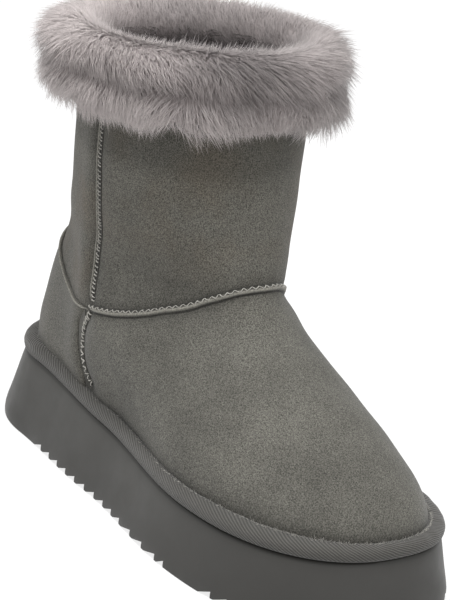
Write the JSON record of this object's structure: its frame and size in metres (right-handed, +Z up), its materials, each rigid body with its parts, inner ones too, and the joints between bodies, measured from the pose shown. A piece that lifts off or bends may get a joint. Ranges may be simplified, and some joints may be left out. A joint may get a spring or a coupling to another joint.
{
  "type": "sheepskin boot",
  "caption": "Ankle-high sheepskin boot with a thick platform sole, woven tape round the platform, overlocked seams and a wide fur cuff.",
  "frame": {"origin": "on the floor under the middle of the whole boot's box", "axes": "+X towards the toe, +Z up, -Y towards the outer side of the foot"},
  "size_m": [0.2834, 0.1366, 0.22],
  "materials": {
    "sole": "satin moulded foam rubber",
    "suede": "napped suede side of sheepskin",
    "fleece": "short fleece",
    "tape": "woven twill tape",
    "seam": "overlocked thread over suede",
    "fur": "long soft fur"
  },
  "bodies": {
    "root": {"outsole": "sole", "upper": "suede", "insole": "fleece", "rand_tape": "tape", "heel_counter": "suede", "vamp_seam": "seam", "side_seam_outer": "seam", "side_seam_inner": "seam", "heel_seam_outer": "seam", "heel_seam_inner": "seam", "fur_cuff": "fur"}
  },
  "joints": []
}
